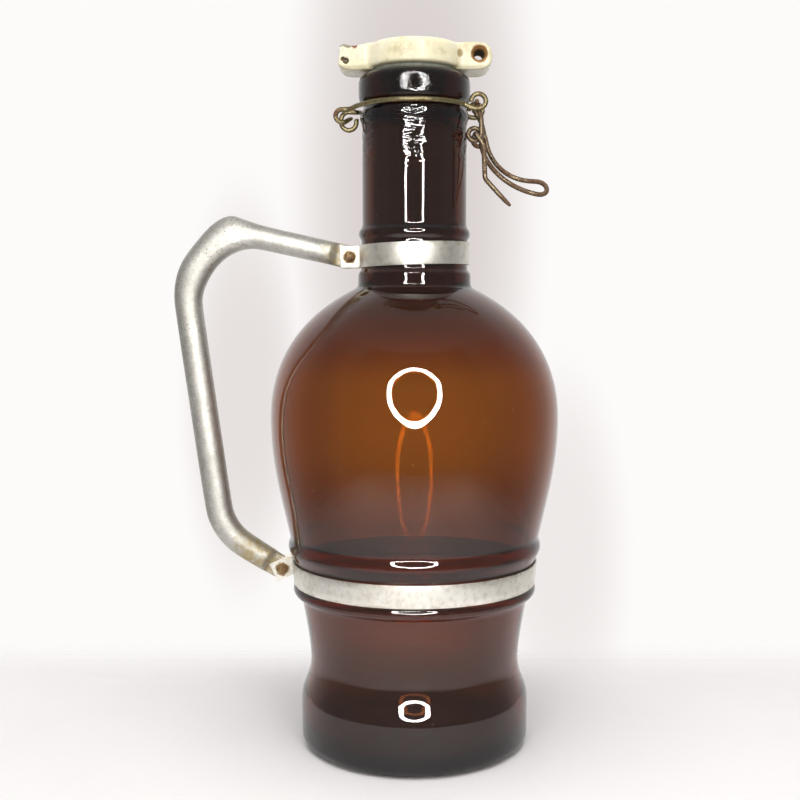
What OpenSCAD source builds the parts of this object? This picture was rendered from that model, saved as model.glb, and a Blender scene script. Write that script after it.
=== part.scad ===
// Two-litre growler: a hollow amber glass bottle with a swing-top closure of bent wire,
// a porcelain cap with two ears, and an aluminium carrying handle held by two strap bands.
// Millimetres, +Z up. The origin is the centre of the bottle's base, on the ground.
// The handle is on the -X side and the closure's lever on the +X side.

/* [Bottle body] */
// Diameter of the foot
foot_d = 109.6; // [104:0.2:114]
// Height at which the foot starts to draw in
foot_h = 22; // [16:0.5:26]
// Rounding of the bottom edge of the foot
heel_r = 6; // [3:0.5:9]
// Width of the flat ring that the bottle stands on
rest_ring_w = 5; // [3:0.5:8]
// Height of the hollow under the base
punt_h = 5; // [2:0.5:8]
// Diameter of the waist above the foot
waist_d = 100.4; // [96:0.2:103]
// Height of the waist
waist_z = 42; // [38:0.5:46]
// Diameter over the lower bead
low_bead_d = 117; // [114:0.2:119]
// Height of the lower band's middle, half way between the two beads
belt_z = 84; // [80:0.5:88]
// Diameter of the glass at the middle of the lower band
belt_d = 115.2; // [112:0.2:116]
// How much the glass widens with height under the lower band, on the radius per mm
belt_taper = 0.08; // [0:0.01:0.12]
// Diameter over the upper bead
up_bead_d = 121.4; // [118:0.2:124]
// Largest diameter of the belly
belly_d = 137.2; // [132:0.2:142]
// Height of the largest diameter
belly_z = 158; // [150:0.5:166]
// How full the shoulder is: length of the upright stretch above the belly
shoulder_full = 32; // [26:0.5:36]
// Height of the neck's root, where the shoulder ends
root_z = 220; // [216:0.5:223]
// Diameter of the neck's root
root_d = 53.6; // [52:0.2:56]

/* [Bottle neck] */
// Diameter of the neck
neck_d = 49.4; // [47:0.2:51]
// Diameter of the glass under the upper band
neck_belt_d = 50.4; // [48:0.2:51.6]
// Height of the upper band's middle
neck_belt_z = 234.8; // [234:0.1:236]
// Diameter over the bead above the upper band
neck_bead_d = 53; // [52:0.2:55]
// How far the collar below the wire groove stands out from the neck
collar_rise = 1; // [0.7:0.1:1.8]
// Height of the collar
collar_h = 4.8; // [3.5:0.1:6]
// Depth of the wire groove below the neck's surface
groove_depth = 0.5; // [0.2:0.1:1]
// Width of the wire groove
groove_w = 4.4; // [4:0.1:5.5]
// How far the lip stands out from the neck
lip_rise = 1.7; // [1.3:0.1:2.4]
// Height of the lip
lip_h = 13; // [11:0.5:16]
// Diameter of the mouth
mouth_d = 33; // [31:0.5:36]
// Height of the glass bottle
bottle_h = 318.8; // [316:0.2:322]

/* [Glass] */
// Wall of the body
wall = 4; // [3:0.1:4.5]
// Wall of the neck
neck_wall = 4.6; // [4:0.1:5]
// Thickness of the base
base_t = 5.5; // [4:0.5:7]

/* [Porcelain cap] */
// Diameter of the cap's disc
cap_d = 45.4; // [44:0.2:48]
// Height of the cap at its rim
cap_h = 11.6; // [10:0.2:13]
// Rise of the cap's crown above its rim
crown_h = 1.6; // [0.5:0.1:3]
// Distance of each ear's hole from the bottle's axis
ear_reach = 30; // [29:0.2:32]
// Radius of an ear's rounded end
ear_r = 6.35; // [6:0.05:6.8]
// Thickness of the ears, front to back
ear_t = 18.8; // [16:0.2:20]
// Diameter of the hole through the right ear
ear_bore_d = 4.7; // [3.6:0.1:5.4]
// Diameter of the flared mouths of that hole
ear_flare_d = 7.6; // [6:0.1:8.4]
// Depth of each flared mouth
ear_flare_t = 2.6; // [1.5:0.1:4]
// Diameter of the plug that enters the mouth
plug_d = 28; // [26:0.5:29.5]
// Length of the plug
plug_len = 9; // [6:0.5:14]
// Outer diameter of the rubber seal
seal_d = 41; // [38:0.5:43]
// Thickness of the rubber seal
seal_t = 2; // [1.4:0.1:3]

/* [Closure wire] */
// Diameter of the wire
wire_d = 2.3; // [1.8:0.1:2.6]
// Play between the wire and what it lies against
wire_play = 0.3; // [0.2:0.05:0.5]
// Distance of the lever's pivot from the bottle's axis
pivot_reach = 28.7; // [28.2:0.1:31]
// Half of the distance between the two neck eyes' planes
eye_half = 13; // [12.6:0.1:14]
// Radius of the neck eyes, to the middle of the wire
eye_r = 3.4; // [3.2:0.1:3.8]
// Distance from the lever's pivot down to its coils
coil_drop = 14.5; // [13.5:0.1:16]
// Radius of the lever's coils, to the middle of the wire
coil_r = 3; // [2.8:0.1:3.2]
// Angle between the lever's front and rear legs, which are bent out of line
lever_twist = 12; // [4:1:16]
// Distance from the pivot to the tip of the finger loop, level
lever_reach = 34; // [30:0.5:38]
// Distance from the pivot down to the middle of the finger loop
lever_drop = 38; // [35:0.5:42]
// Width of the finger loop, front to back
loop_w = 10; // [8:0.5:12]
// Length of the broken link's upper stretch, down to its bend
link_len = 20.6; // [17:0.2:24]
// Length of the broken link's lower stretch
link_tail = 17.6; // [12:0.2:20]
// Angle of the lower stretch from upright
link_bend = 43; // [30:1:60]

/* [Bands] */
// Width of the strap bands
band_w = 10.5; // [9:0.1:10.8]
// Thickness of the strap bands
band_t = 0.8; // [0.6:0.1:1.2]
// Play between the bands and the glass
band_play = 0.25; // [0.2:0.05:0.4]
// Tilt of the upper band, down towards the handle
band_tilt = 1.6; // [0:0.1:2]
// Length of the upper band's tabs beyond the band
upper_tab = 9; // [8:0.2:11]
// Length of the lower band's tabs beyond the band
lower_tab = 9.6; // [8.6:0.2:11]
// Droop of the lower band's tabs from level
tab_droop = 25; // [15:1:32]

/* [Handle] */
// Distance from the bottle's axis to the grip at half height
grip_reach = 103; // [98:0.5:110]
// Lean of the grip, outwards with height
grip_lean = 7.7; // [4:0.1:10]
// Rise of the handle's top run, in degrees
top_rise = 12.2; // [8:0.1:16]
// Radius of the upper bend, to the middle of the tube
upper_bend_r = 30; // [24:0.5:34]
// Radius of the lower bend, to the middle of the tube
lower_bend_r = 28; // [22:0.5:34]
// Fall of the lower run from level, in degrees
low_fall = 32; // [26:0.5:38]
// Width of the tube at the grip
grip_w = 12.8; // [11:0.1:14]
// Width of the tube at the upper bend
bend_w = 15; // [12.8:0.1:16]
// Width of the tube at its two ends
end_w = 10.8; // [9:0.1:12]
// Thickness of the tube, front to back
tube_t = 12.4; // [11:0.1:14]
// Wall of the tube
tube_wall = 1.5; // [1:0.1:1.8]
// Height of the peak on the upper bend
peak_h = 4.2; // [1:0.1:5]
// Turn of the upper bend from its start to its peak, in degrees
peak_turn = 25; // [18:0.5:30]
// Thickness of the flattened ends
tongue_t = 3; // [2.4:0.1:3.6]

/* [Fasteners] */
// Diameter of the screws
screw_d = 3; // [2.5:0.1:3.4]
// Diameter of the screw heads
head_d = 5.4; // [5:0.1:6.2]
// Height of the screw heads
head_h = 1.8; // [1.4:0.1:2.4]
// Width of the square nuts
nut_w = 5.8; // [5.2:0.1:6.6]
// Thickness of the square nuts
nut_t = 2.4; // [2:0.1:3]
// Play of the screws in the tabs and in the handle, on the radius
screw_play = 0.2; // [0.1:0.05:0.3]

/* [Hidden] */

ROUND = 96;
// Largest turn between two cuts along a tight bend, and along one wider than WIDE_BEND
BEND_STEP = 20;
WIDE_STEP = 7.5;
WIDE_BEND = 10;
// Flat faces that are clamped together lie this far apart
face_gap = 0.02;

// ---------- curves ----------
function lerp(a, b, t) = a + (b - a) * t;
function bezier(p0, p1, p2, p3, steps) =
    [for (i = [0:steps]) let (t = i / steps, s = 1 - t)
        p0 * s * s * s + p1 * 3 * s * s * t + p2 * 3 * s * t * t + p3 * t * t * t];
function arc(centre, r, from, to, steps) =
    [for (i = [0:steps]) let (a = lerp(from, to, i / steps)) centre + r * [cos(a), sin(a)]];
// A bead: an arc of chord 2 * half along the wall and height rise, bulging to +x
function bead(x, z, half, rise, steps) =
    let (r = (half * half + rise * rise) / (2 * rise), a = asin(half / r))
    arc([x + rise - r, z], r, -a, a, steps);
// A groove: an arc of the same kind whose bottom lies at x
function hollow(x, z, half, depth, steps) =
    let (r = (half * half + depth * depth) / (2 * depth), a = asin(half / r))
    arc([x + r, z], r, 180 + a, 180 - a, steps);

function unit(v) = v / norm(v);
function reversed(line) = [for (i = [len(line) - 1:-1:0]) line[i]];
// A line of x, z points that follows another upwards, d to its left
function inside(line, d) =
    let (last = len(line) - 1)
    [for (i = [0:last]) let (t = unit(line[min(i + 1, last)] - line[max(i - 1, 0)]))
        line[i] + d * [-t[1], t[0]]];

// ---------- glass bottle ----------
foot_r = foot_d / 2;
belly_r = belly_d / 2;
neck_r = neck_d / 2;
lip_r = neck_r + lip_rise;
groove_r = neck_r - groove_depth;
neck_belt_r = neck_belt_d / 2;
root_r = root_d / 2;
lip_z = bottle_h - lip_h;
groove_z = lip_z - groove_w / 2;
collar_z = lip_z - groove_w - collar_h / 2;
// The seats of the two bands reach a little past the bands
seat_half = band_w / 2 + 0.6;
neck_seat_half = seat_half + 1;
neck_bead_half = 3;
// The collar and the groove meet this far outside the neck
groove_edge = 0.5;
neck_bead_z = neck_belt_z + neck_seat_half + neck_bead_half;
bead_half = 3.4;
low_bead_z = belt_z - seat_half - bead_half + 1.2;
up_bead_z = belt_z + seat_half + bead_half + 3.4;
function belt_r(z) = belt_d / 2 + (z - belt_z) * belt_taper;
// Radii of the wall that the two body beads stand on
low_wall_r = belt_r(belt_z - seat_half) - 1.9;
up_wall_r = up_bead_d / 2 - 1;

// The belly's two long curves, which the inside follows a wall's thickness away
belly_line = bezier([up_wall_r, up_bead_z + bead_half + 1],
                    [up_wall_r + 4.4, up_bead_z + bead_half + 21],
                    [belly_r, belly_z - 22], [belly_r, belly_z], 14);
shoulder_line = bezier([belly_r, belly_z], [belly_r, belly_z + shoulder_full],
                       [root_r + 22, root_z - 11], [root_r + 2.4, root_z - 1.4], 20);

outer_wall = concat(
    [[0, punt_h]],
    bezier([foot_r * 0.4, punt_h], [foot_r * 0.62, punt_h * 0.8],
           [foot_r - heel_r - rest_ring_w - 6, 0.6], [foot_r - heel_r - rest_ring_w, 0], 6),
    arc([foot_r - heel_r, heel_r], heel_r, -90, 0, 8),
    bezier([foot_r, foot_h], [foot_r, foot_h + 7], [waist_d / 2, waist_z - 9],
           [waist_d / 2, waist_z], 12),
    bezier([waist_d / 2, waist_z], [waist_d / 2, waist_z + 6],
           [low_wall_r - 3.4, low_bead_z - bead_half - 14],
           [low_wall_r - 1, low_bead_z - bead_half - 2], 10),
    bead(low_wall_r, low_bead_z, bead_half, low_bead_d / 2 - low_wall_r, 10),
    [[belt_r(belt_z - seat_half), belt_z - seat_half],
     [belt_r(belt_z + seat_half), belt_z + seat_half]],
    bead(up_wall_r, up_bead_z, bead_half, up_bead_d / 2 - up_wall_r, 8),
    belly_line,
    shoulder_line,
    bezier([root_r + 1, root_z - 0.6], [root_r + 0.2, root_z - 0.1], [root_r, root_z + 0.6],
           [root_r, root_z + 2], 4),
    [[root_r, neck_belt_z - neck_seat_half - 2],
     [neck_belt_r, neck_belt_z - neck_seat_half],
     [neck_belt_r, neck_belt_z + neck_seat_half]],
    bead(neck_belt_r, neck_bead_z, neck_bead_half - 0.2, neck_bead_d / 2 - neck_belt_r, 8),
    [[neck_r, neck_bead_z + neck_bead_half + 1.5],
     [neck_r, collar_z - collar_h / 2 - 1.4]],
    bead(neck_r + groove_edge, collar_z, collar_h / 2, collar_rise - groove_edge, 6),
    hollow(groove_r, groove_z, groove_w / 2, groove_depth + groove_edge, 8),
    bezier([lip_r - 0.8, lip_z], [lip_r, lip_z + 1.5], [lip_r, lip_z + 3], [lip_r, lip_z + 5], 5),
    bezier([lip_r, bottle_h - 5], [lip_r, bottle_h - 1.6], [lip_r - 1.8, bottle_h],
           [lip_r - 5, bottle_h], 8)
);

mouth_r = mouth_d / 2;
neck_in_r = neck_r - neck_wall;
inner_wall = concat(
    bezier([mouth_r + 1, bottle_h], [mouth_r + 0.3, bottle_h - 0.2], [mouth_r, bottle_h - 0.6],
           [mouth_r, bottle_h - 1.6], 4),
    bezier([mouth_r, lip_z], [mouth_r, lip_z - 6], [neck_in_r, lip_z - 6], [neck_in_r, lip_z - 13], 8),
    bezier([neck_in_r, root_z + 8], [neck_in_r, root_z + 1], [neck_in_r + 1, root_z - 2.5],
           inside(shoulder_line, wall)[20], 6),
    reversed(inside(shoulder_line, wall)),
    reversed(inside(belly_line, wall)),
    bezier(inside(belly_line, wall)[0], [belt_d / 2 - wall, belt_z + 8],
           [belt_d / 2 - wall - 1, belt_z], [low_wall_r - wall - 0.6, low_bead_z - 6], 8),
    bezier([low_wall_r - wall - 0.6, low_bead_z - 6], [low_wall_r - wall - 3, low_bead_z - 16],
           [waist_d / 2 - wall, waist_z + 8], [waist_d / 2 - wall, waist_z], 8),
    bezier([waist_d / 2 - wall, waist_z], [waist_d / 2 - wall, waist_z - 8],
           [foot_r - wall, foot_h + 8], [foot_r - wall, foot_h], 8),
    bezier([foot_r - wall, heel_r + 9], [foot_r - wall, base_t + 2.5],
           [foot_r - wall - 5, base_t], [foot_r - heel_r - rest_ring_w - 5, base_t + 0.6], 8),
    [[foot_r * 0.4, punt_h + base_t], [0, punt_h + base_t]]
);

module glass_bottle() {
    color([0.36, 0.16, 0.06])
        rotate_extrude($fn = ROUND) polygon(concat(outer_wall, inner_wall));
}

// ---------- bent wire ----------
// Angle at corner b of the route a, b, c
function corner_angle(a, b, c) = acos(max(-1, min(1, unit(a - b) * unit(c - b))));
// How far the bend reaches along each side of the corner
function bend_reach(a, b, c, r) = r / tan(corner_angle(a, b, c) / 2);

// Points along the round bend at corner b, of radius r to the middle of the wire
function bend_points(a, b, c, r) =
    let (angle = 180 - corner_angle(a, b, c), u = unit(a - b), v = unit(c - b),
         start = b + u * bend_reach(a, b, c, r),
         centre = b + unit(u + v) * r / cos(angle / 2),
         x = unit(start - centre),
         steps = max(1, ceil(angle / (r > WIDE_BEND ? WIDE_STEP : BEND_STEP))))
    [for (i = [0:steps]) let (t = angle * i / steps) centre + r * (x * cos(t) - u * sin(t))];

// The middle line of a route of corners, each [x, y, z, bend radius]
function middle_line(route) =
    let (at = [for (p = route) [p[0], p[1], p[2]]], last = len(route) - 1)
    concat([at[0]],
           [for (i = [1:last - 1]) each bend_points(at[i - 1], at[i], at[i + 1], route[i][3])],
           [at[last]]);

// Part of v at right angles to the unit vector t
function square_to(v, t) = unit(v - t * (v * t));

// A solid through rings of points that all have as many points
module loft(rings) {
    sides = len(rings[0]);
    last = len(rings) - 1;
    skin = [for (i = [0:last - 1], k = [0:sides - 1])
        let (p = i * sides + k, q = i * sides + (k + 1) % sides)
        each [[p, q + sides, q], [p, p + sides, q + sides]]];
    polyhedron([for (ring = rings) each ring],
               concat([[for (k = [0:sides - 1]) k]], skin,
                      [[for (k = [sides - 1:-1:0]) last * sides + k]]), convexity = 10);
}

// A round wire along a line of points, its sides carried along without twist
module wire(line, d, sides = 10) {
    last = len(line) - 1;
    along = [for (i = [0:last]) unit(line[min(i + 1, last)] - line[max(i - 1, 0)])];
    first = square_to(abs(along[0][2]) < 0.9 ? [0, 0, 1] : [1, 0, 0], along[0]);
    side = [for (i = 0, n = first; i <= last;
                 i = i + 1, n = i <= last ? square_to(n, along[i]) : n) n];
    loft([for (i = [0:last]) let (n = side[i], m = cross(along[i], n))
          [for (k = [0:sides - 1]) let (a = 360 * k / sides)
              line[i] + d / 2 * (n * cos(a) + m * sin(a))]]);
}

// ---------- neck wires ----------
// The wire lies in the groove on a circle of this radius
ring_r = groove_r + wire_play + wire_d / 2;
// Plan angles at which the wires leave the groove
leave_right = 36;
leave_left = 152;
// The eyes hang off centre, so that the lever's pins lie against their wire
eye_x = pivot_reach + eye_r - wire_d - wire_play;
eye_z = groove_z + 1;

// Corners of a round ring in the groove from plan angle a to b, all bends of radius ring_r
function ring_corners(a, b, parts) =
    let (step = (b - a) / parts)
    [for (i = [0:parts - 1]) let (m = a + step * (i + 0.5), r = ring_r / cos(step / 2))
        [r * cos(m), r * sin(m), groove_z, ring_r]];

// The right-hand end of a neck wire: out of the groove, then round the eye; side is -1 or 1
function right_eye(side) =
    let (y = side * eye_half, x0 = eye_x - eye_r, x1 = eye_x + eye_r,
         z0 = eye_z - eye_r, z1 = eye_z + eye_r, bend = eye_r - 0.05,
         a = leave_right, run = (ring_r * sin(a) - eye_half) / cos(a))
    [[x0, y, eye_z - 0.1, 1],
     [x0, y, z1, bend],
     [x1, y, z1, bend],
     [x1, y, z0, bend],
     [x0 + 0.8, y, z0 + 0.25, 6],
     [ring_r * cos(a) + run * sin(a), y, groove_z, 2.4]];

// The front wire's left-hand end: out of the groove and round a hook through the rear wire's eye
hook_x = -(ring_r + 8.4);
hook_r = 2.9;
hook_front_y = -3.2;
hook_rear_y = 4.1;
front_left_end = let (top = groove_z - 1, low = top - 2 * hook_r, bend = hook_r - 0.05)
    [[-ring_r - 1.6, -8.4, top + 0.6, 3],
     [hook_x + 4, hook_front_y, top, 4],
     [hook_x - hook_r, hook_front_y, top, bend],
     [hook_x - hook_r, hook_front_y + 0.3, low, bend],
     [hook_x + 1.2, hook_front_y + 1.5, low, 1.8],
     [hook_x + 4.3, hook_rear_y, low + 3, 1]];

// The rear wire's left-hand end: out of the groove and round an upright eye
loop_x = -(ring_r + 5.35);
loop_half_x = 3.6;
loop_half_z = 4.4;
loop_y = 1.5;
loop_z = groove_z - 5.6;
rear_left_end = let (x0 = loop_x - loop_half_x, x1 = loop_x + loop_half_x,
                     z0 = loop_z - loop_half_z, z1 = loop_z + loop_half_z, bend = loop_half_x - 0.05)
    [[-ring_r - 0.9, 6.6, groove_z - 0.8, 2.4],
     [x1 + 0.2, loop_y, z1 - 0.4, 2],
     [x0, loop_y, z1, bend],
     [x0, loop_y, z0, bend],
     [x1, loop_y, z0, bend],
     [x1, loop_y, z1 - 3.4, 1]];

module neck_wire_front() {
    color([0.52, 0.45, 0.27])
        wire(middle_line(concat(right_eye(-1), ring_corners(-leave_right, -leave_left, 3),
                                front_left_end)), wire_d);
}

module neck_wire_rear() {
    color([0.45, 0.38, 0.22])
        wire(middle_line(concat(right_eye(1), ring_corners(leave_right, leave_left, 3),
                                rear_left_end)), wire_d);
}

// ---------- lever ----------
// Offsets are [x, y, z] from the middle of the pivot, for the front half; the rear half is its
// mirror image, swung outwards by the twist
pivot = [pivot_reach, 0, eye_z];
pin_end = eye_half + wire_d / 2 - 0.15;
leg_y = eye_half - wire_d - wire_play;
// The coil winds inwards by a wire's thickness and a little more
coil_in_y = leg_y - wire_d - 0.2;
coil_x = -0.7;
coil_out_x = coil_x + coil_r;
loop_end_x = lever_reach - 5.4;
loop_tilt = lever_reach * sin(lever_twist) / 2;
loop_turn = 7.3;
leg_end_dir = [0.98, 0, -0.19];

function swung(p) =
    [p[0] * cos(lever_twist) - p[2] * sin(lever_twist), -p[1],
     p[0] * sin(lever_twist) + p[2] * cos(lever_twist)];
function swung_all(line) = [for (i = [len(line) - 1:-1:0]) swung(line[i])];

// From the pin in the neck eye down the upper leg and once round the coil
lever_top = let (bend = coil_r - 0.05, low = -coil_drop - coil_r, high = -coil_drop + coil_r,
                 in_x = coil_x - coil_r, step = (leg_y - coil_in_y) / 3)
    middle_line([[0, -pin_end, 0],
                 [0, -leg_y, 0, 1.3],
                 [coil_out_x, -leg_y, -7, 12],
                 [coil_out_x, -leg_y, low, bend],
                 [in_x, -leg_y + step, low, bend],
                 [in_x, -leg_y + 2 * step, high, bend],
                 [coil_out_x, -coil_in_y, high, bend],
                 [coil_out_x, -coil_in_y, low]]);
coil_exit = lever_top[len(lever_top) - 1];
front_loop_end = [loop_end_x, -loop_w / 2, -lever_drop - loop_tilt];
rear_loop_end = [loop_end_x, loop_w / 2, -lever_drop + loop_tilt];
rear_dir = unit(swung(leg_end_dir));
down = [0, 0, -9];

function without_first(line) = [for (i = [1:len(line) - 1]) line[i]];

lever_line = concat(
    lever_top,
    without_first(bezier(coil_exit, coil_exit + down,
                         front_loop_end - 16 * leg_end_dir, front_loop_end, 10)),
    without_first(bezier(front_loop_end, front_loop_end + loop_turn * leg_end_dir,
                         rear_loop_end + loop_turn * rear_dir, rear_loop_end, 12)),
    without_first(bezier(rear_loop_end, rear_loop_end - 13 * rear_dir,
                         swung(coil_exit + down), swung(coil_exit), 10)),
    without_first(swung_all(lever_top))
);

module closure_lever() {
    color([0.42, 0.27, 0.15])
        translate(pivot) wire(lever_line, wire_d);
}

// ---------- broken link ----------
// Its pin hangs in the bottom of the front coil
link_pin = pivot + [coil_x, 0, -coil_drop - (coil_r - wire_d - 0.35)];
link_y = eye_half + wire_d + wire_play;
link_out_x = 3.9;

module bail_link() {
    color([0.38, 0.28, 0.18])
        translate(link_pin)
            wire(middle_line([[0, -coil_in_y + 1.6, 0],
                              [0, -link_y, 0, 1.4],
                              [link_out_x, -link_y, -5.2, 4],
                              [link_out_x + 0.5, -link_y, -link_len, 4],
                              [link_out_x + 0.5 + link_tail * sin(link_bend), -link_y,
                               -link_len - link_tail * cos(link_bend)]]), wire_d);
}

// ---------- porcelain cap and seal ----------
cap_z = bottle_h + seal_t;
cap_r = cap_d / 2;
plug_r = plug_d / 2;
seal_r = seal_d / 2;
ear_z = cap_z + ear_r - 1.15;
rim_edge = 3;

module cap_disc() {
    rotate_extrude($fn = ROUND)
        polygon(concat(
            [[0, cap_z - plug_len], [plug_r - 2, cap_z - plug_len],
             [plug_r - 0.6, cap_z - plug_len + 1.6], [plug_r, cap_z]],
            arc([cap_r - 1.4, cap_z + 1.4], 1.4, -90, 0, 5),
            arc([cap_r - rim_edge, cap_z + cap_h - rim_edge], rim_edge, 0, 72, 6),
            bezier([cap_r - 3.4, cap_z + cap_h + 0.2], [cap_r - 9, cap_z + cap_h + crown_h],
                   [6, cap_z + cap_h + crown_h], [0, cap_z + cap_h + crown_h], 6)));
}

// One ear, out to +x: its side outline meets its plan outline, whose corners are rounded
module ear() {
    half = ear_t / 2;
    tip = ear_reach + ear_r;
    soft = 2.2;
    root = cap_r / 2;
    intersection() {
        translate([0, half, 0]) rotate([90, 0, 0])
            linear_extrude(ear_t)
                polygon(concat([[root, ear_z + ear_r], [root, ear_z - ear_r]],
                               arc([ear_reach, ear_z], ear_r, -90, 90, 14)));
        translate([0, 0, ear_z - ear_r - 1])
            linear_extrude(2 * ear_r + 2)
                polygon(concat([[root, -half]],
                               arc([tip - soft, -half + soft], soft, -90, 0, 5),
                               arc([tip - soft, half - soft], soft, 0, 90, 5),
                               [[root, half]]));
    }
}

// What broke away from the left ear: its tip above the middle and its top, deepest at the front.
// The outlines of the front face and further in are x, z points from the ear's bore
chip_depth = 1.5;
function chip_outline(edge) =
    concat([[-ear_r - 4, -3.2], [-4.9, -3.1]], edge,
           [[8.6, ear_r + 0.4], [8.6, ear_r + 4], [-ear_r - 4, ear_r + 4]]);
front_chip = chip_outline([[-4.8, 3.8], [-3.2, 4], [-1.5, 3.5], [0.2, 3.3], [2.2, 4], [5, 4.9],
                           [7.4, 5.9]]);
inner_chip = chip_outline([[-4.6, 6.1], [-3.4, 6.3], [-1.7, 5.4], [0.3, 4.9], [2.6, 4.8], [5.1, 5.1],
                           [7.2, 5.9]]);

module broken_away() {
    half = ear_t / 2;
    layers = [[half + 2, inner_chip], [chip_depth - half, inner_chip],
              [-chip_depth - half, 2 * front_chip - inner_chip]];
    loft([for (layer = layers)
              [for (p = layer[1]) [p[0] - ear_reach, layer[0], ear_z + p[1]]]]);
}

module porcelain_cap() {
    half = ear_t / 2;
    color([0.93, 0.9, 0.8]) difference() {
        union() {
            cap_disc();
            difference() {
                union() {
                    ear();
                    mirror([1, 0, 0]) ear();
                }
                translate([0, 0, cap_z - 4]) cylinder(h = 4, r = seal_r + 0.4, $fn = ROUND);
                broken_away();
            }
        }
        translate([ear_reach, half + 1, ear_z + 0.9]) rotate([90, 0, 0]) {
            cylinder(h = ear_t + 2, d = ear_bore_d, $fn = ROUND);
            for (end = [0, ear_t + 2])
                translate([0, 0, end]) mirror([0, 0, end > 0 ? 1 : 0])
                    cylinder(h = ear_flare_t + 1, d1 = ear_flare_d + 1.1, d2 = ear_bore_d, $fn = ROUND);
        }
        for (pit = [[-3, -1.55, 1.13], [-1.7, -2.3, 1.5]])
            translate([pit[0] - ear_reach, -half, ear_z + pit[1]]) sphere(r = pit[2], $fn = 18);
    }
}

module cap_seal() {
    lip_gap = 0.05;
    color([0.36, 0.4, 0.36])
        translate([0, 0, bottle_h + lip_gap]) difference() {
            cylinder(h = seal_t - lip_gap - face_gap, r = seal_r, $fn = ROUND);
            translate([0, 0, -1]) cylinder(h = seal_t + 2, r = plug_r + wire_play, $fn = ROUND);
        }
}

// ---------- bands ----------
// Half of the slot between the two tabs of a band
slot_half = tongue_t / 2 + face_gap;
screw_hole_r = screw_d / 2 + screw_play;
upper_in_r = neck_belt_r + band_play;
// Distance of the upper screw from the bottle's axis, along the tilted band
upper_reach = upper_in_r + band_t + upper_tab / 2;
upper_at = [-upper_reach * cos(band_tilt), neck_belt_z - upper_reach * sin(band_tilt)];
lower_out_r = belt_d / 2 + band_play + band_t;
lower_at = [-(lower_out_r + lower_tab / 2 + 0.6), belt_z];

// Two flat tabs, front and rear, of an outline given as x, z points
module tabs(outline) {
    for (side = [-1, 1])
        translate([0, side * (slot_half + band_t / 2), 0]) rotate([90, 0, 0])
            linear_extrude(band_t, center = true) polygon(outline);
}

module screw_hole(at) {
    translate([at[0], 0, at[1]]) rotate([90, 0, 0])
        cylinder(h = tube_t, r = screw_hole_r, center = true, $fn = 32);
}

// The slot that parts a band where its tabs fold out
module slot() {
    translate([-belly_d, -slot_half, -band_w]) cube([belly_d, 2 * slot_half, 2 * band_w]);
}

module upper_band() {
    soft = 0.8;
    half = band_w / 2;
    tip = upper_in_r + band_t + upper_tab;
    color([0.78, 0.78, 0.76])
        translate([0, 0, neck_belt_z]) rotate([0, -band_tilt, 0]) difference() {
            union() {
                difference() {
                    cylinder(h = band_w, r = upper_in_r + band_t, center = true, $fn = ROUND);
                    cylinder(h = band_w + 2, r = upper_in_r, center = true, $fn = ROUND);
                    slot();
                }
                tabs([[-upper_in_r - band_t / 2, half], [-upper_in_r - band_t / 2, -half],
                      [-tip + soft, -half], [-tip, -half + soft],
                      [-tip, half - soft], [-tip + soft, half]]);
            }
            screw_hole([-upper_reach, 0]);
        }
}

module lower_band() {
    half = band_w / 2;
    tab_half = half - 0.55;
    along = [-cos(tab_droop), -sin(tab_droop)];
    up = [along[1], -along[0]];
    outer = lower_at + along * (lower_tab / 2 - 0.2);
    inner = lower_at - along * lower_tab / 2;
    middle_r = lower_out_r - band_t / 2;
    strip = [for (end = [-half, half]) [belt_r(belt_z + end) + band_play, belt_z + end]];
    color([0.78, 0.78, 0.76]) difference() {
        union() {
            difference() {
                rotate_extrude($fn = ROUND)
                    polygon([strip[0], strip[0] + [band_t, 0], strip[1] + [band_t, 0], strip[1]]);
                translate([0, 0, belt_z]) slot();
            }
            tabs([[-middle_r - belt_taper * half, belt_z + half],
                  [-middle_r, belt_z - half * 0.45],
                  outer - up * tab_half, outer + up * tab_half, inner + up * tab_half]);
        }
        screw_hole(lower_at);
    }
}

// ---------- handle ----------
// The path lies in the plane y = 0 as x, z points: up from the upper screw, round the upper bend,
// down the grip, round the lower bend and down to the lower screw
grip_mid_z = (neck_belt_z + belt_z) / 2 + 16;
grip_slope = tan(grip_lean);

// Distance from a screw to the grip's middle line, and the corner there
function run_to_grip(at, rise) =
    (grip_reach + grip_slope * (at[1] - grip_mid_z) + at[0]) / (cos(rise) - grip_slope * sin(rise));
function run_point(at, rise, d) = at + d * [-cos(rise), sin(rise)];

// Directions square to the path, on its outer side
upper_out = 90 - top_rise;
grip_out = 180 + grip_lean;
lower_out = 270 - low_fall;

upper_half_turn = (grip_out - upper_out) / 2;
lower_half_turn = (lower_out - grip_out) / 2;
function bend_centre(corner, r, out, half_turn) =
    corner - r / cos(half_turn) * [cos(out + half_turn), sin(out + half_turn)];
upper_centre = bend_centre(run_point(upper_at, top_rise, run_to_grip(upper_at, top_rise)),
                           upper_bend_r, upper_out, upper_half_turn);
lower_centre = bend_centre(run_point(lower_at, low_fall, run_to_grip(lower_at, low_fall)),
                           lower_bend_r, grip_out, lower_half_turn);
upper_run = run_to_grip(upper_at, top_rise) - upper_bend_r * tan(upper_half_turn);
lower_run = run_to_grip(lower_at, low_fall) - lower_bend_r * tan(lower_half_turn);

// The flattened ends: the tube closes between these distances from the screws
flat_to = 5.3;
round_from = 10.4;
tongue_end = 3;
function closing(d) =
    let (t = max(0, min(1, (d - flat_to) / (round_from - flat_to)))) t * t * (3 - 2 * t);

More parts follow.
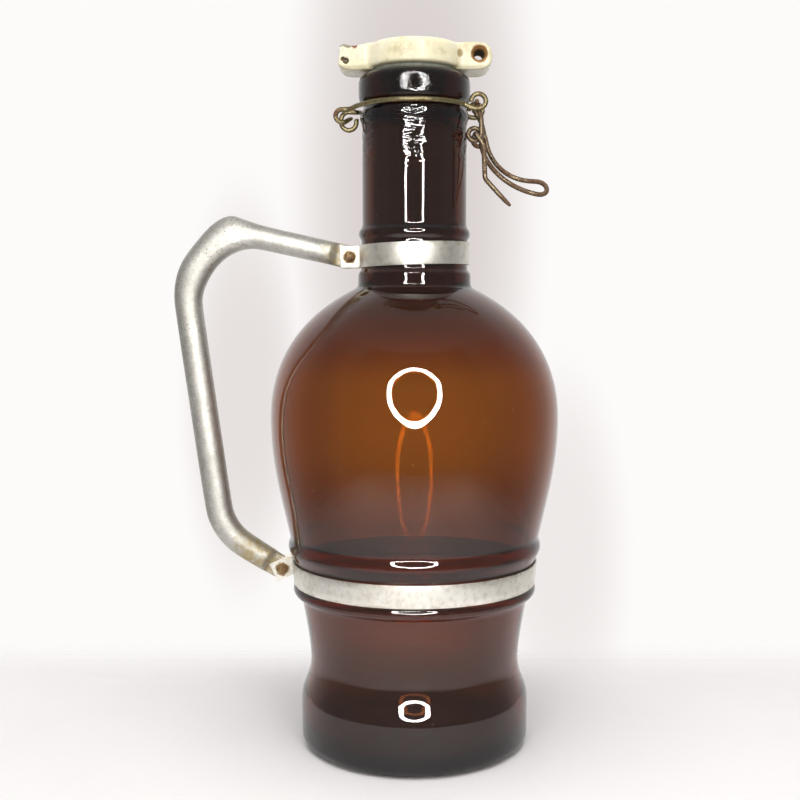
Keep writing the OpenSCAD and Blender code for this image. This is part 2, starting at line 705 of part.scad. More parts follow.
// A station of the handle: place, outward direction, half widths inwards and outwards,
// half thickness and squareness of the section
function run_station(at, rise, out, d, run, bend_half, inset, pad) =
    let (t = closing(d), half = lerp(end_w / 2, bend_half, max(0, d) / run) - (d < 0 ? d * d * 0.35 : 0))
    [run_point(at, rise, d), out, half - inset, half + pad * max(0, d) / run - inset,
     lerp(tongue_t, tube_t, t) / 2 - inset, lerp(6, 2.3, t)];
function bend_station(centre, r, out, inner, outer, inset) =
    [centre + r * [cos(out), sin(out)], out, inner - inset, outer - inset, tube_t / 2 - inset, 2.3];

// The upper bend widens slowly on its inner side. Its outer side goes on nearly straight from the
// top run to a peak and falls away to the grip
function eased(t) = let (s = max(0, min(1, t))) s * s * (3 - 2 * s);
widest = 0.66;
run_pad = 0.35;
peak_fall = 36;
peak_at = upper_out + peak_turn;
run_line = upper_bend_r + end_w / 2 + run_pad;
peak_line = (upper_bend_r + bend_w / 2 + peak_h) * cos(peak_turn);
function bend_inner(t) = t < widest ? lerp(end_w / 2, bend_w / 2, eased(t / widest))
                                    : lerp(bend_w / 2, grip_w / 2, eased((t - widest) / (1 - widest)));
function bend_outer(out, t) =
    let (off = out - peak_at, before = (out - upper_out) / peak_turn,
         fall = min(1, off / peak_fall),
         base = lerp(bend_w / 2, grip_w / 2, eased((t - widest) / (1 - widest))))
    off < 0 ? lerp(run_line, peak_line, pow(max(0, before), 1.5)) / cos(out - upper_out) - upper_bend_r
            : base + peak_h * (1 + cos(180 * fall)) / 2;
upper_turns = concat([for (i = [0:3]) upper_out + peak_turn * i / 4],
                     [for (i = [0:11]) lerp(peak_at, grip_out, i / 11)]);

lower_bend_half = (grip_w - 0.8) / 2;

function handle_stations(inset) =
    let (hollow = inset > 0, grip_half = grip_w / 2)
    concat(
        [for (d = hollow ? [12, 20, 31] : [-tongue_end, -1.6, 0, flat_to, 6.4, 7.4, 8.3, 9.3, round_from, 20, 31])
            if (d < upper_run - 4) run_station(upper_at, top_rise, upper_out, d, upper_run,
                                               end_w / 2, inset, run_pad)],
        [for (out = upper_turns) let (t = (out - upper_out) / (2 * upper_half_turn))
            bend_station(upper_centre, upper_bend_r, out, bend_inner(t),
                         hollow ? bend_inner(t) : bend_outer(out, t), inset)],
        [for (i = [0:5]) let (t = i / 5, out = grip_out + 2 * lower_half_turn * t,
                              half = lerp(grip_half, lower_bend_half, t))
            bend_station(lower_centre, lower_bend_r, out, half, half, inset)],
        [for (d = hollow ? [12] : [round_from, 9.3, 8.3, 7.4, 6.4, flat_to, 0, -1.6, -tongue_end])
            run_station(lower_at, low_fall, lower_out, d, lower_run, lower_bend_half, inset, 0)]
    );

function power(v, p) = sign(v) * pow(abs(v), 2 / p);
function handle_ring(station, sides = 20) =
    let (at = station[0], out = station[1])
    [for (k = [0:sides - 1]) let (a = 360 * k / sides, x = power(cos(a), station[5]),
                                  u = x * (x > 0 ? station[3] : station[2]))
        [at[0] + u * cos(out), station[4] * power(sin(a), station[5]), at[1] + u * sin(out)]];

module handle_tube() {
    color([0.8, 0.8, 0.78]) difference() {
        loft([for (station = handle_stations(0)) handle_ring(station)]);
        loft([for (station = handle_stations(tube_wall)) handle_ring(station)]);
        screw_hole(upper_at);
        screw_hole(lower_at);
    }
}

// ---------- fasteners ----------
tab_face = slot_half + band_t + face_gap;

module screw(at, slotted) {
    r = head_d / 2;
    translate([at[0], 0, at[1]]) rotate([90, 0, 0]) difference() {
        union() {
            translate([0, 0, -tab_face - nut_t - 1.2])
                cylinder(h = 2 * tab_face + nut_t + 1.4, d = screw_d, $fn = 32);
            translate([0, 0, tab_face]) rotate_extrude($fn = 48)
                polygon(concat([[0, 0], [r, 0], [r, head_h * 0.45]],
                               arc([0, head_h * 0.45 - r * 0.6], r * 1.166, 31, 90, 6)));
        }
        if (slotted)
            rotate([0, 0, 45]) translate([-r, -0.4, tab_face + head_h * 0.5]) cube([head_d, 0.8, head_h * 2]);
        else
            translate([0, 0, tab_face + head_h * 0.62]) difference() {
                cylinder(h = head_h * 2, r = r * 0.5, $fn = 32);
                translate([0, 0, -1]) cylinder(h = head_h * 3, r = r * 0.3, $fn = 32);
            }
    }
}

module nut(at) {
    translate([at[0], tab_face, at[1]]) rotate([-90, 0, 0]) difference() {
        translate([-nut_w / 2, -nut_w / 2, 0]) cube([nut_w, nut_w, nut_t]);
        translate([0, 0, -1]) cylinder(h = nut_t + 2, r = screw_d / 2 + face_gap, $fn = 32);
    }
}

module upper_screw() {
    color([0.45, 0.3, 0.18]) screw(upper_at, true);
}

module upper_nut() {
    color([0.42, 0.32, 0.24]) nut(upper_at);
}

module lower_screw() {
    color([0.55, 0.33, 0.17]) screw(lower_at, false);
}

module lower_nut() {
    color([0.42, 0.32, 0.24]) nut(lower_at);
}

glass_bottle();
porcelain_cap();
cap_seal();
neck_wire_front();
neck_wire_rear();
closure_lever();
bail_link();
handle_tube();
upper_band();
lower_band();
upper_screw();
upper_nut();
lower_screw();
lower_nut();
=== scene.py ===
"""Looks of the two-litre growler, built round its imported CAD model. Metres, +Z up."""
import math

import bmesh
import bpy
import numpy as np
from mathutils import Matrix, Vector


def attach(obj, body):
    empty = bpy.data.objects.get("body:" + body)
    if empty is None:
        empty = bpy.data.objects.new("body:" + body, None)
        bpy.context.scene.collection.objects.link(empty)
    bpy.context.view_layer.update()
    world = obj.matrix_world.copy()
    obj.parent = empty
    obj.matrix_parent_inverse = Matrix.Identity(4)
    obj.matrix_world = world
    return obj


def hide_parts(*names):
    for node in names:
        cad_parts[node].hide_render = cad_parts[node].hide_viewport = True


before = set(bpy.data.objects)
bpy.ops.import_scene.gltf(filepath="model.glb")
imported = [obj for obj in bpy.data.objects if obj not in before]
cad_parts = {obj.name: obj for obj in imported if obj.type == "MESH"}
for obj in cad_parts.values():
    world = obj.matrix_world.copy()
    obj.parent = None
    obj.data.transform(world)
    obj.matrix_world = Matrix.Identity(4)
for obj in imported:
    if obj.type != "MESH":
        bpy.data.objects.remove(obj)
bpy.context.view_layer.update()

MM = 0.001


# ---------------------------------------------------------------- objects and meshes
def linked(name, data):
    """A new object, put into the scene."""
    made = bpy.data.objects.new(name, data)
    bpy.context.scene.collection.objects.link(made)
    return made


def new_piece(name, mesh, material, body, node):
    """A piece that rides on a body and stands for a CAD node."""
    mesh.materials.append(material)
    piece = linked(name, mesh)
    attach(piece, body)
    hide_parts(node)


def shade_smooth(mesh):
    mesh.polygons.foreach_set("use_smooth", [True] * len(mesh.polygons))


def mesh_of(name, bm):
    """Turns bm into a mesh."""
    mesh = bpy.data.meshes.new(name)
    bm.to_mesh(mesh)
    bm.free()
    return mesh


def smooth_mesh(name, bm):
    """Turns bm, which is closed, into a mesh with smooth shading."""
    bmesh.ops.recalc_face_normals(bm, faces=bm.faces)
    mesh = mesh_of(name, bm)
    shade_smooth(mesh)
    return mesh


# Corners of a node's triangles that lie this close are joined
SAME_POINT = 0.002 * MM


def node_copy(node):
    """A bmesh of a CAD node with its triangles' shared corners joined."""
    bm = bmesh.new()
    bm.from_mesh(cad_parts[node].data)
    bmesh.ops.remove_doubles(bm, verts=bm.verts, dist=SAME_POINT)
    return bm


def modified(mesh, kind, **settings):
    """The mesh that one modifier makes of this one, with smooth shading."""
    piece = linked(mesh.name, mesh)
    modifier = piece.modifiers.new(kind, kind)
    for key, value in settings.items():
        setattr(modifier, key, value)
    graph = bpy.context.evaluated_depsgraph_get()
    result = bpy.data.meshes.new_from_object(piece.evaluated_get(graph))
    bpy.data.objects.remove(piece)
    shade_smooth(result)
    return result


def islands(bm):
    """The separate closed parts of bm, as lists of vertices."""
    left = set(bm.verts)
    found = []
    while left:
        grown = set()
        edge = [left.pop()]
        while edge:
            v = edge.pop()
            grown.add(v)
            for e in v.link_edges:
                other = e.other_vert(v)
                if other in left:
                    left.discard(other)
                    edge.append(other)
        found.append(list(grown))
    return found


def span(verts):
    """The diagonal of the box round the vertices."""
    co = np.array([v.co for v in verts])
    return float(np.linalg.norm(co.max(0) - co.min(0)))


def turn_angles(sides):
    """The angles of the corners of a ring with so many sides."""
    return [2 * math.pi * k / sides for k in range(sides)]


# ---------------------------------------------------------------- camera
# Place of the lens, degrees that it looks down, focal length and shift to the side
EYE = (0, -0.55084, 0.20868)
PITCH_DOWN = 4.45
LENS_MM = 51.75
SIDE_SHIFT = -0.018


def make_camera():
    data = bpy.data.cameras.new("camera")
    data.lens = LENS_MM
    data.shift_x = SIDE_SHIFT
    camera = linked("camera", data)
    camera.location = EYE
    camera.rotation_euler = (math.radians(90 - PITCH_DOWN), 0, 0)
    bpy.context.scene.camera = camera


# ---------------------------------------------------------------- glass bottle
# Corners of the outline are rounded to so many digits, and are one corner if this close
PROFILE_DIGITS = 5
SAME_CORNER = 0.03 * MM
# The outline is resampled at the step, softened by a running average that reaches so many
# softnesses each way, and thinned to within the tolerance
PROFILE_STEP = 0.5 * MM
PROFILE_SOFTNESS = 0.6 * MM
AVERAGE_REACH = 3
PROFILE_TOLERANCE = 0.012 * MM
LATHE_SIDES = 192
# A radius below the first is on the axis, and a length below the second is none
ON_AXIS = 1e-7
NO_LENGTH = 1e-12


def radius_and_height(v):
    return (round(math.hypot(v.co.x, v.co.y), PROFILE_DIGITS), round(v.co.z, PROFILE_DIGITS))


def turned_profile(node):
    """The r, z outline that a turned CAD node was made from, from the axis out and back to it."""
    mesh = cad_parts[node].data
    corners = []
    corner_of = {}
    for v in mesh.vertices:
        key = radius_and_height(v)
        if key not in corner_of:
            same = [c for c in corners if math.dist(c, key) < SAME_CORNER]
            corner_of[key] = same[0] if same else key
            corners.extend([] if same else [key])
    keys = [corner_of[radius_and_height(v)] for v in mesh.vertices]
    links = {c: set() for c in corners}
    for e in mesh.edges:
        a, b = (keys[i] for i in e.vertices)
        if a != b:
            links[a].add(b)
            links[b].add(a)
    ends = [c for c in corners if len(links[c]) == 1]
    line = [min(ends, key=lambda c: c[1])]
    while True:
        ahead = [c for c in links[line[-1]] if c not in line[-2:]]
        if not ahead:
            break
        line.append(ahead[0])
    return np.array([(0, line[0][1]), *line, (0, line[-1][1])])


def softened(line, softness):
    """The line resampled evenly, its corners rounded by a running average; its ends stay."""
    steps = np.linalg.norm(np.diff(line, axis=0), axis=1)
    along = np.concatenate([[0], np.cumsum(steps)])
    count = int(along[-1] / PROFILE_STEP)
    at = np.linspace(0, along[-1], count + 1)
    even = np.stack([np.interp(at, along, line[:, k]) for k in (0, 1)], 1)
    reach = int(AVERAGE_REACH * softness / PROFILE_STEP)
    weight = np.exp(-0.5 * (np.arange(-reach, reach + 1) * PROFILE_STEP / softness) ** 2)
    weight /= weight.sum()
    # The line goes on past the axis as its mirror image, so its two ends stay square to it
    before = even[reach:0:-1] * [-1, 1]
    after = even[-2:-reach - 2:-1] * [-1, 1]
    padded = np.concatenate([before, even, after])
    soft = np.stack([np.convolve(padded[:, k], weight, "valid") for k in (0, 1)], 1)
    soft[[0, -1], 0] = 0
    return soft


def thinned(line, tolerance):
    """The line without the points that lie nearly straight between their neighbours."""
    keep = [0]
    while keep[-1] < len(line) - 1:
        start = keep[-1]
        end = start + 1
        while end + 1 < len(line):
            a = line[start]
            b = line[end + 1]
            side = (b - a) / max(np.linalg.norm(b - a), NO_LENGTH)
            off = line[start + 1:end + 1] - a
            if np.abs(off[:, 0] * side[1] - off[:, 1] * side[0]).max() > tolerance:
                break
            end += 1
        keep.append(end)
    return line[keep]


def lathe(line, sides):
    """A closed solid of revolution; the first and last point of the line lie on the axis."""
    bm = bmesh.new()
    rings = []
    for r, z in line:
        if r < ON_AXIS:
            rings.append([bm.verts.new((0, 0, z))])
        else:
            rings.append([bm.verts.new((r * math.cos(a), r * math.sin(a), z))
                          for a in turn_angles(sides)])
    for low, high in zip(rings, rings[1:]):
        for k in range(sides):
            corners = [low[k % len(low)], low[(k + 1) % len(low)],
                       high[(k + 1) % len(high)], high[k % len(high)]]
            bm.faces.new(list(dict.fromkeys(corners)))
    return bm


def make_bottle():
    line = softened(turned_profile("glass_bottle"), PROFILE_SOFTNESS)
    mesh = smooth_mesh("blown_glass", lathe(thinned(line, PROFILE_TOLERANCE), LATHE_SIDES))
    new_piece("blown_glass", mesh, amber_glass(), "bottle", "glass_bottle")


# ---------------------------------------------------------------- wires and handle
# How often wires and the handle are subdivided. Both shrink by it, so they first grow by so much
WIRE_LEVELS = 1
TUBE_LEVELS = 2
WIRE_RADIUS = 1.15 * MM
WIRE_GROWTH = 0.064 * WIRE_RADIUS
TUBE_GROWTH = 0.1 * MM
# Two triangles are joined to a four-sided face if they lie this flat and it is this square
JOINED_FLAT = math.radians(40)
JOINED_SQUARE = math.radians(60)


def rounded_tube(name, node, growth, levels):
    """A CAD tube as a subdivided smooth one, without its inner wall."""
    bm = node_copy(node)
    parts = sorted(islands(bm), key=span)
    for part in parts[:-1]:
        bmesh.ops.delete(bm, geom=part, context="VERTS")
    bmesh.ops.recalc_face_normals(bm, faces=bm.faces)
    bmesh.ops.join_triangles(bm, faces=bm.faces, angle_face_threshold=JOINED_FLAT,
                             angle_shape_threshold=JOINED_SQUARE)
    bm.normal_update()
    for v in bm.verts:
        v.co += v.normal * growth
    return modified(smooth_mesh(name, bm), "SUBSURF", levels=levels)


def make_wires():
    # Piece, CAD node, body, slot and material
    wires = [("front_neck_wire", "neck_wire_front", "neck_wire", "neck_wire", olive_wire(0.0)),
             ("rear_neck_wire", "neck_wire_rear", "neck_wire", "neck_wire", olive_wire(3.7)),
             ("lever_wire", "closure_lever", "lever", "lever_wire", rusty_wire(0.0)),
             ("broken_bail", "bail_link", "link", "lever_wire", rusty_wire(5.1))]
    for name, node, body, slot, material in wires:
        mesh = rounded_tube(name, node, WIRE_GROWTH, WIRE_LEVELS)
        new_piece(name, mesh, material, body, node)


def make_handle():
    mesh = rounded_tube("handle", "handle_tube", TUBE_GROWTH, TUBE_LEVELS)
    new_piece("handle", mesh, handle_aluminium(), "bottle", "handle_tube")


# ---------------------------------------------------------------- cap
CAP_VOXEL = 0.36 * MM
# The hole through the right ear, as x and z, and how far round it the edges aren't worn
EAR_HOLE = (0.030, 0.3269)
EAR_HOLE_RIM = 4.6 * MM
# Further left than this lies the broken ear, where the edges aren't worn either
BROKEN_EAR_X = -25 * MM
# The ears run into the disc between these distances from the middle, above this height
EAR_ROOT_IN = 16.5 * MM
EAR_ROOT_OUT = 23.5 * MM
EAR_ROOT_LOW = 0.3212
# Rounds of smoothing for the whole cap, its worn edges and the ears' roots
WHOLE_ROUNDS = 5
WORN_ROUNDS = 16
ROOT_ROUNDS = 50


def is_worn(co):
    hole_x, hole_z = EAR_HOLE
    return math.hypot(co.x - hole_x, co.z - hole_z) > EAR_HOLE_RIM and co.x > BROKEN_EAR_X


def is_ear_root(co):
    return EAR_ROOT_IN < abs(co.x) < EAR_ROOT_OUT and co.z > EAR_ROOT_LOW


def smooth_verts(bm, verts, rounds):
    for _ in range(rounds):
        bmesh.ops.smooth_vert(bm, verts=verts, factor=0.5, use_axis_x=True, use_axis_y=True,
                              use_axis_z=True)


def make_cap():
    """The CAD cap as one even skin, its edges worn round and its ears run into the disc."""
    rough = modified(smooth_mesh("cap_work", node_copy("porcelain_cap")), "REMESH",
                     mode="VOXEL", voxel_size=CAP_VOXEL)
    bm = bmesh.new()
    bm.from_mesh(rough)
    smooth_verts(bm, bm.verts[:], WHOLE_ROUNDS)
    smooth_verts(bm, [v for v in bm.verts if is_worn(v.co)], WORN_ROUNDS)
    smooth_verts(bm, [v for v in bm.verts if is_ear_root(v.co)], ROOT_ROUNDS)
    mesh = smooth_mesh("china_cap", bm)
    new_piece("china_cap", mesh, porcelain(), "cap", "porcelain_cap")


# ---------------------------------------------------------------- seal, straps and screws
SEAL_BEVEL = 0.35 * MM
STRAP_BEVEL = 0.18 * MM
SCREW_BEVEL = 0.12 * MM
NUT_BEVEL = 0.15 * MM
BEVEL_SEGMENTS = 2
# Edges that turn by more than the first angle are bevelled, by more than the second stay sharp
BEVEL_ANGLE = math.radians(35)
SHARP_ANGLE = math.radians(50)
# Heights of the straps' middles and places of the screws' heads
NECK_STRAP_Z = 0.2345
BODY_STRAP_Z = 0.084
NECK_SCREW = (-0.0307, -0.0035, 0.2339)
BODY_SCREW = (-0.0640, -0.0035, 0.0840)


def bevelled(name, node, width):
    """A CAD node with its sharp edges rounded off."""
    mesh = modified(smooth_mesh(name, node_copy(node)), "BEVEL", width=width,
                    segments=BEVEL_SEGMENTS, limit_method="ANGLE", angle_limit=BEVEL_ANGLE)
    mesh.set_sharp_from_angle(angle=SHARP_ANGLE)
    return mesh


def make_small_parts():
    neck_metal = strap_aluminium(NECK_STRAP_Z, NECK_SCREW)
    body_metal = strap_aluminium(BODY_STRAP_Z, BODY_SCREW)
    # Piece, CAD node, body, slot, bevel and material
    parts = [("seal_ring", "cap_seal", "cap", "seal_rubber", SEAL_BEVEL, aged_rubber()),
             ("neck_strap", "upper_band", "bottle", "band_metal", STRAP_BEVEL, neck_metal),
             ("body_strap", "lower_band", "bottle", "band_metal", STRAP_BEVEL, body_metal),
             ("neck_screw", "upper_screw", "bottle", "rusty_screw", SCREW_BEVEL, rusty_steel(0.0)),
             ("neck_nut", "upper_nut", "bottle", "rusty_screw", NUT_BEVEL, rusty_steel(2.0)),
             ("body_screw", "lower_screw", "bottle", "rusty_screw", SCREW_BEVEL, rusty_steel(4.0)),
             ("body_nut", "lower_nut", "bottle", "rusty_screw", NUT_BEVEL, rusty_steel(6.0))]
    for name, node, body, slot, width, material in parts:
        new_piece(name, bevelled(name, node, width), material, body, node)


# ---------------------------------------------------------------- node trees
class Nodes:
    """Builds a node tree. A socket given as an input is linked, a number or colour is set."""

    def __init__(self, tree):
        self.tree = tree
        tree.nodes.clear()

    def add(self, kind, settings=None, **inputs):
        node = self.tree.nodes.new("ShaderNode" + kind)
        for key, value in (settings or {}).items():
            setattr(node, key, value)
        for key, value in inputs.items():
            self.put(node.inputs[key.replace("_", " ")], value)
        return node

    def put(self, socket, value):
        if isinstance(value, bpy.types.NodeSocket):
            self.tree.links.new(value, socket)
        elif isinstance(value, tuple) and socket.type == "RGBA":
            socket.default_value = (*value, 1)
        else:
            socket.default_value = value

    def fill(self, node, *values):
        """Fills a node's first inputs in order."""
        for socket, value in zip(node.inputs, values):
            self.put(socket, value)
        return node

    def math(self, operation, *values):
        return self.fill(self.add("Math", {"operation": operation}), *values).outputs[0]

    def times(self, a, b):
        return self.math("MULTIPLY", a, b)

    def larger(self, a, b):
        return self.math("MAXIMUM", a, b)

    def rise(self, value, start, end, low=0.0, high=1.0):
        """Goes smoothly from low to high as value goes from start to end, up or down."""
        node = self.add("MapRange", {"interpolation_type": "SMOOTHSTEP"})
        flip = start > end
        ends = (end, start, high, low) if flip else (start, end, low, high)
        return self.fill(node, value, *ends).outputs[0]

    def band(self, value, low, high, soft):
        """1 where value lies between low and high, falling to 0 over soft on both sides."""
        return self.times(self.rise(value, low - soft, low), self.rise(value, high + soft, high))

    def mix(self, factor, a, b, share=None):
        """Colour b over colour a, by factor times share."""
        if share is not None:
            factor = self.times(factor, share)
        node = self.add("Mix", {"data_type": "RGBA"})
        for index, value in ((0, factor), (6, a), (7, b)):
            self.put(node.inputs[index], value)
        return node.outputs[2]

    def blend(self, factor, a, b):
        """Number b in place of number a, by factor."""
        node = self.add("Mix", {"data_type": "FLOAT"})
        for index, value in ((0, factor), (2, a), (3, b)):
            self.put(node.inputs[index], value)
        return node.outputs[0]


class Shader(Nodes):
    """Builds a material, whose patterns follow the place on the object in metres."""

    def __init__(self, name):
        self.material = bpy.data.materials.new(name)
        self.material.use_nodes = True
        super().__init__(self.material.node_tree)
        self.output = self.add("OutputMaterial")
        self.place = self.add("TexCoord").outputs["Object"]
        self.x, self.y, self.z = self.add("SeparateXYZ", Vector=self.place).outputs

    def scaled(self, x, y, z, shift=0.0):
        """The place, stretched along each axis and moved along all three."""
        node = self.add("VectorMath", {"operation": "MULTIPLY_ADD"})
        return self.fill(node, self.place, (x, y, z), (shift, shift, shift)).outputs[0]

    def noise(self, scale, detail=4.0, roughness=0.55, at=None, shift=0.0):
        at = at or self.scaled(1, 1, 1, shift)
        node = self.add("TexNoise", Vector=at, Scale=scale, Detail=detail, Roughness=roughness)
        return node.outputs["Fac"]

    def cells(self, scale, feature="F1"):
        """Distance to the nearest of scattered points, or to the edge between their cells."""
        node = self.add("TexVoronoi", {"feature": feature}, Vector=self.place, Scale=scale)
        return node.outputs["Distance"]

    def ragged(self, value, amount, scale=400.0):
        """value moved up and down by noise, by up to half of amount."""
        wobble = self.math("SUBTRACT", self.noise(scale), 0.5)
        return self.math("MULTIPLY_ADD", wobble, amount, value)

    def spot(self, point, radius, soft, ragged=0.0, scale=400.0):
        """1 within radius of point, falling to 0 over soft; ragged moves its edge by noise."""
        node = self.add("VectorMath", {"operation": "DISTANCE"})
        away = self.fill(node, self.place, point).outputs["Value"]
        if ragged:
            away = self.ragged(away, ragged, scale)
        return self.rise(away, radius + soft, radius)

    def ramp(self, value, *stops):
        """Colour by value; each stop is (position, (r, g, b))."""
        node = self.add("ValToRGB", Fac=value)
        points = node.color_ramp.elements
        while len(points) < len(stops):
            points.new(0.5)
        for point, (position, colour) in zip(points, stops):
            point.position = position
            point.color = (*colour, 1)
        return node.outputs["Color"]

    def bumps(self, *layers):
        """Bumps laid over one another; each layer is (height from 0 to 1, its depth)."""
        inputs = {}
        for height, depth in layers:
            node = self.add("Bump", Height=height, Distance=depth, **inputs)
            inputs = {"Normal": node.outputs["Normal"]}
        return node.outputs["Normal"]

    def show(self, shader):
        """Makes the shader node's result the material's surface."""
        self.tree.links.new(shader.outputs[0], self.output.inputs["Surface"])

    def surface(self, **inputs):
        self.show(self.add("BsdfPrincipled", **inputs))
        return self.material


# ---------------------------------------------------------------- material of the glass
# Tint by height, as a share of TINT_HEIGHT. It stands partly for the glass's own colour and
# thickness and partly for painted glow and painted reflections of the room and floor
TINT_HEIGHT = 0.32
GLASS_TINT_AND_PAINTED_LIGHT = [(0.02, (0.2, 0.18, 0.18)),
              (0.05, (0.36, 0.27, 0.26)),
              (0.09, (0.42, 0.35, 0.33)),
              (0.15, (0.4, 0.31, 0.26)),
              (0.2, (0.56, 0.35, 0.27)),
              (0.25, (0.46, 0.33, 0.3)),
              (0.32, (0.43, 0.31, 0.29)),
              (0.39, (0.64, 0.49, 0.25)),
              (0.45, (0.8, 0.65, 0.15)),
              (0.55, (0.79, 0.63, 0.14)),
              (0.61, (0.54, 0.33, 0.13)),
              (0.67, (0.27, 0.21, 0.18)),
              (0.72, (0.22, 0.23, 0.25))]
# Painted shade: over these distances from the middle, the tint goes by this share towards the darker
# colour of the sides
SIDE_STEP = (12 * MM, 42 * MM)
SIDE_SHARE = 0.2
SIDE_SHADE = (0.12, 0.09, 0.07)
GLASS_IOR = 1.52
GLASS_CLEARNESS = 0.97
AMBER = (0.75, 0.415, 0.02)
AMBER_DENSITY = 420.0
# Heights between which the neck's glass is wrinkled and the lip's is grained, and how softly
WRINKLED = (0.283, 0.300, 0.013)
GRAINED = (0.308, 0.324, 0.002)


def amber_glass():
    s = Shader("amber_glass")
    # The glass's own tint, with painted glow and painted reflections laid in by height
    tint_and_painted_light = s.ramp(s.math("DIVIDE", s.z, TINT_HEIGHT), *GLASS_TINT_AND_PAINTED_LIGHT)
    # Painted shade: the glass gets darker towards its left and right sides
    side = s.rise(s.math("ABSOLUTE", s.x), *SIDE_STEP)
    tint_and_painted_light = s.mix(side, tint_and_painted_light, SIDE_SHADE, share=SIDE_SHARE)
    waves = s.noise(24, detail=2.0)
    wrinkles = s.noise(1.0, detail=0.5, roughness=0.5, at=s.scaled(190, 190, 750))
    wrinkles = s.times(wrinkles, s.band(s.z, *WRINKLED))
    grain = s.times(s.noise(1300, detail=2.0), s.band(s.z, *GRAINED))
    normal = s.bumps((waves, 0.08 * MM), (wrinkles, 0.5 * MM), (grain, 0.09 * MM))
    specks = s.rise(s.cells(260), 0.10, 0.04)
    dust = s.times(specks, s.rise(s.noise(60, detail=2.0), 0.56, 0.62))
    glass = s.surface(Base_Color=tint_and_painted_light, Roughness=s.times(dust, 0.3), IOR=GLASS_IOR,
                      Transmission_Weight=GLASS_CLEARNESS, Normal=normal)
    absorb = s.add("VolumeAbsorption", Color=AMBER, Density=AMBER_DENSITY)
    s.tree.links.new(absorb.outputs["Volume"], s.output.inputs["Volume"])
    return glass


# ---------------------------------------------------------------- porcelain of the cap
GLAZE = [(0.3, (0.66, 0.57, 0.34)), (0.48, (0.87, 0.81, 0.57)), (0.7, (0.94, 0.9, 0.72))]
CRACK_BROWN = (0.36, 0.27, 0.12)
SPECK_BROWN = (0.3, 0.2, 0.1)
UNDERSIDE_SHADE = (0.34, 0.29, 0.16)
HOLE_STAIN = (0.3, 0.13, 0.02)
BORE_SHADE = (0.1, 0.06, 0.02)
RUN_BROWN = (0.3, 0.2, 0.06)
FRACTURE = [(0.35, (0.2, 0.18, 0.12)), (0.65, (0.42, 0.39, 0.29))]
RUST = (0.2, 0.075, 0.03)
# Colours of the two pits, which are only painted, as dark spots
PIT_DARK = [(0.35, (0.06, 0.045, 0.02)), (0.7, (0.26, 0.19, 0.1))]
# A brown run beside the right ear, and rust and two pits that touch on the broken left ear
RUN_PLACE = (0.0206, -0.0094, 0.3272)
RUST_PLACE = (-0.0276, -0.0088, 0.3304)
UPPER_PIT = (-0.0330, -0.0090, 0.32445)
LOWER_PIT = (-0.0317, -0.0090, 0.3237)
# Painted shade: the cap's underside gets darker from the first height down to the second
CAP_UNDERSIDE = (0.3225, 0.3205)
# Radii round the right ear's hole over which the stain and the painted shade in the bore come in
STAIN_RADII = (4.6 * MM, 3.5 * MM)
BORE_RADII = (2.9 * MM, 2.4 * MM)
# The broken ear's top comes in over these steps to the left and upwards
BROKEN_X = (-0.0255, -0.0268)
BROKEN_Z = (0.3288, 0.3294)


def crazed_glaze(s, mottle):
    """Mottled cream glaze with a net of fine cracks and some specks, and painted shade underneath.
    """
    glaze = s.ramp(mottle, *GLAZE)
    cracks = s.rise(s.cells(380, feature="DISTANCE_TO_EDGE"), 0.05, 0.01)
    crazed = s.rise(s.noise(70, detail=2.0, shift=6.0), 0.45, 0.6, high=0.3)
    glaze = s.mix(s.times(cracks, crazed), glaze, CRACK_BROWN)
    specks = s.rise(s.cells(420), 0.16, 0.08)
    specked = s.rise(s.noise(150, detail=2.0, shift=3.0), 0.55, 0.62)
    glaze = s.mix(s.times(specks, specked), glaze, SPECK_BROWN)
    # Painted shade: the glaze gets darker towards the underside
    return s.mix(s.rise(s.z, *CAP_UNDERSIDE), glaze, UNDERSIDE_SHADE, share=0.5)


def ear_hole_stain_and_shade(s):
    """Where the rim of the right ear's hole is stained, and where its bore gets painted shade."""
    right = s.rise(s.x, 0.0, 10 * MM)
    squares = [s.math("POWER", s.math("SUBTRACT", value, centre), 2.0)
               for value, centre in zip((s.x, s.z), EAR_HOLE)]
    off_axis = s.math("SQRT", s.math("ADD", *squares))
    rim = s.rise(s.ragged(off_axis, 1.8 * MM, scale=350), *STAIN_RADII)
    shaded_bore = s.rise(off_axis, *BORE_RADII)
    return s.times(rim, right), s.times(shaded_bore, right)


def broken_top(s):
    """Where the left ear's top is a fracture: its upward faces."""
    tilt = s.add("SeparateXYZ", Vector=s.add("NewGeometry").outputs["Normal"]).outputs["Z"]
    chipped = s.times(s.rise(s.x, *BROKEN_X), s.rise(s.z, *BROKEN_Z))
    return s.times(chipped, s.rise(tilt, 0.3, 0.5))


